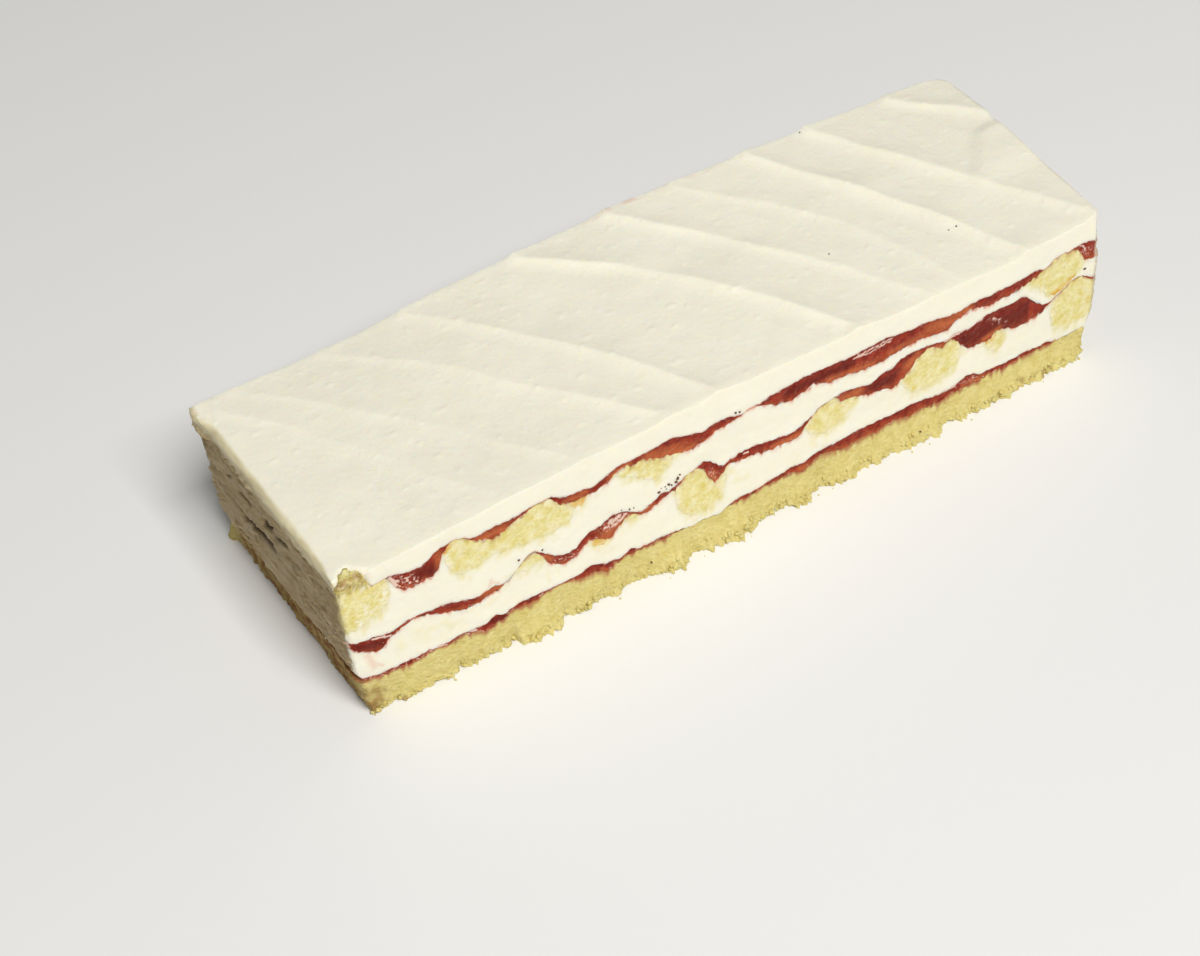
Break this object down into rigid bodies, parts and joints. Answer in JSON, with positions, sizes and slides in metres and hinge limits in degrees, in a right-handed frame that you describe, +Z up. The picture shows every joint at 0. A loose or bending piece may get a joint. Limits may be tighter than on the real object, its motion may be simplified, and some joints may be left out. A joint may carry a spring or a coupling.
{
  "type": "strawberry cream cake",
  "caption": "Long bar of layered sponge, whipped cream and strawberry jam with cut sides and a cream top ridged by a palette knife, served in slices.",
  "frame": {"origin": "middle of the flat underside of the cake, on the surface that it stands on", "axes": "+X along the bar, from the end with the corner sponge piece; +Z up; -Y out of the front cut"},
  "size_m": [0.267, 0.0962, 0.0609],
  "materials": {
    "sponge": "open crumb of a golden sponge sheet",
    "soaked_sponge": "pale sponge soaked by cream",
    "cream": "smooth whipped cream with a soft sheen",
    "jam": "wet strawberry jam"
  },
  "bodies": {
    "root": {"base_sponge": "sponge", "jam_low": "jam", "cream_low": "cream", "sponge_low_1": "soaked_sponge", "sponge_low_2": "soaked_sponge", "sponge_low_3": "soaked_sponge", "sponge_low_4": "soaked_sponge", "sponge_low_5": "soaked_sponge", "sponge_low_6": "soaked_sponge", "jam_middle": "jam", "cream_middle": "cream", "sponge_high_1": "soaked_sponge", "sponge_high_2": "soaked_sponge", "sponge_high_3": "soaked_sponge", "sponge_high_4": "soaked_sponge", "jam_high": "jam", "cream_top": "cream"}
  },
  "joints": []
}
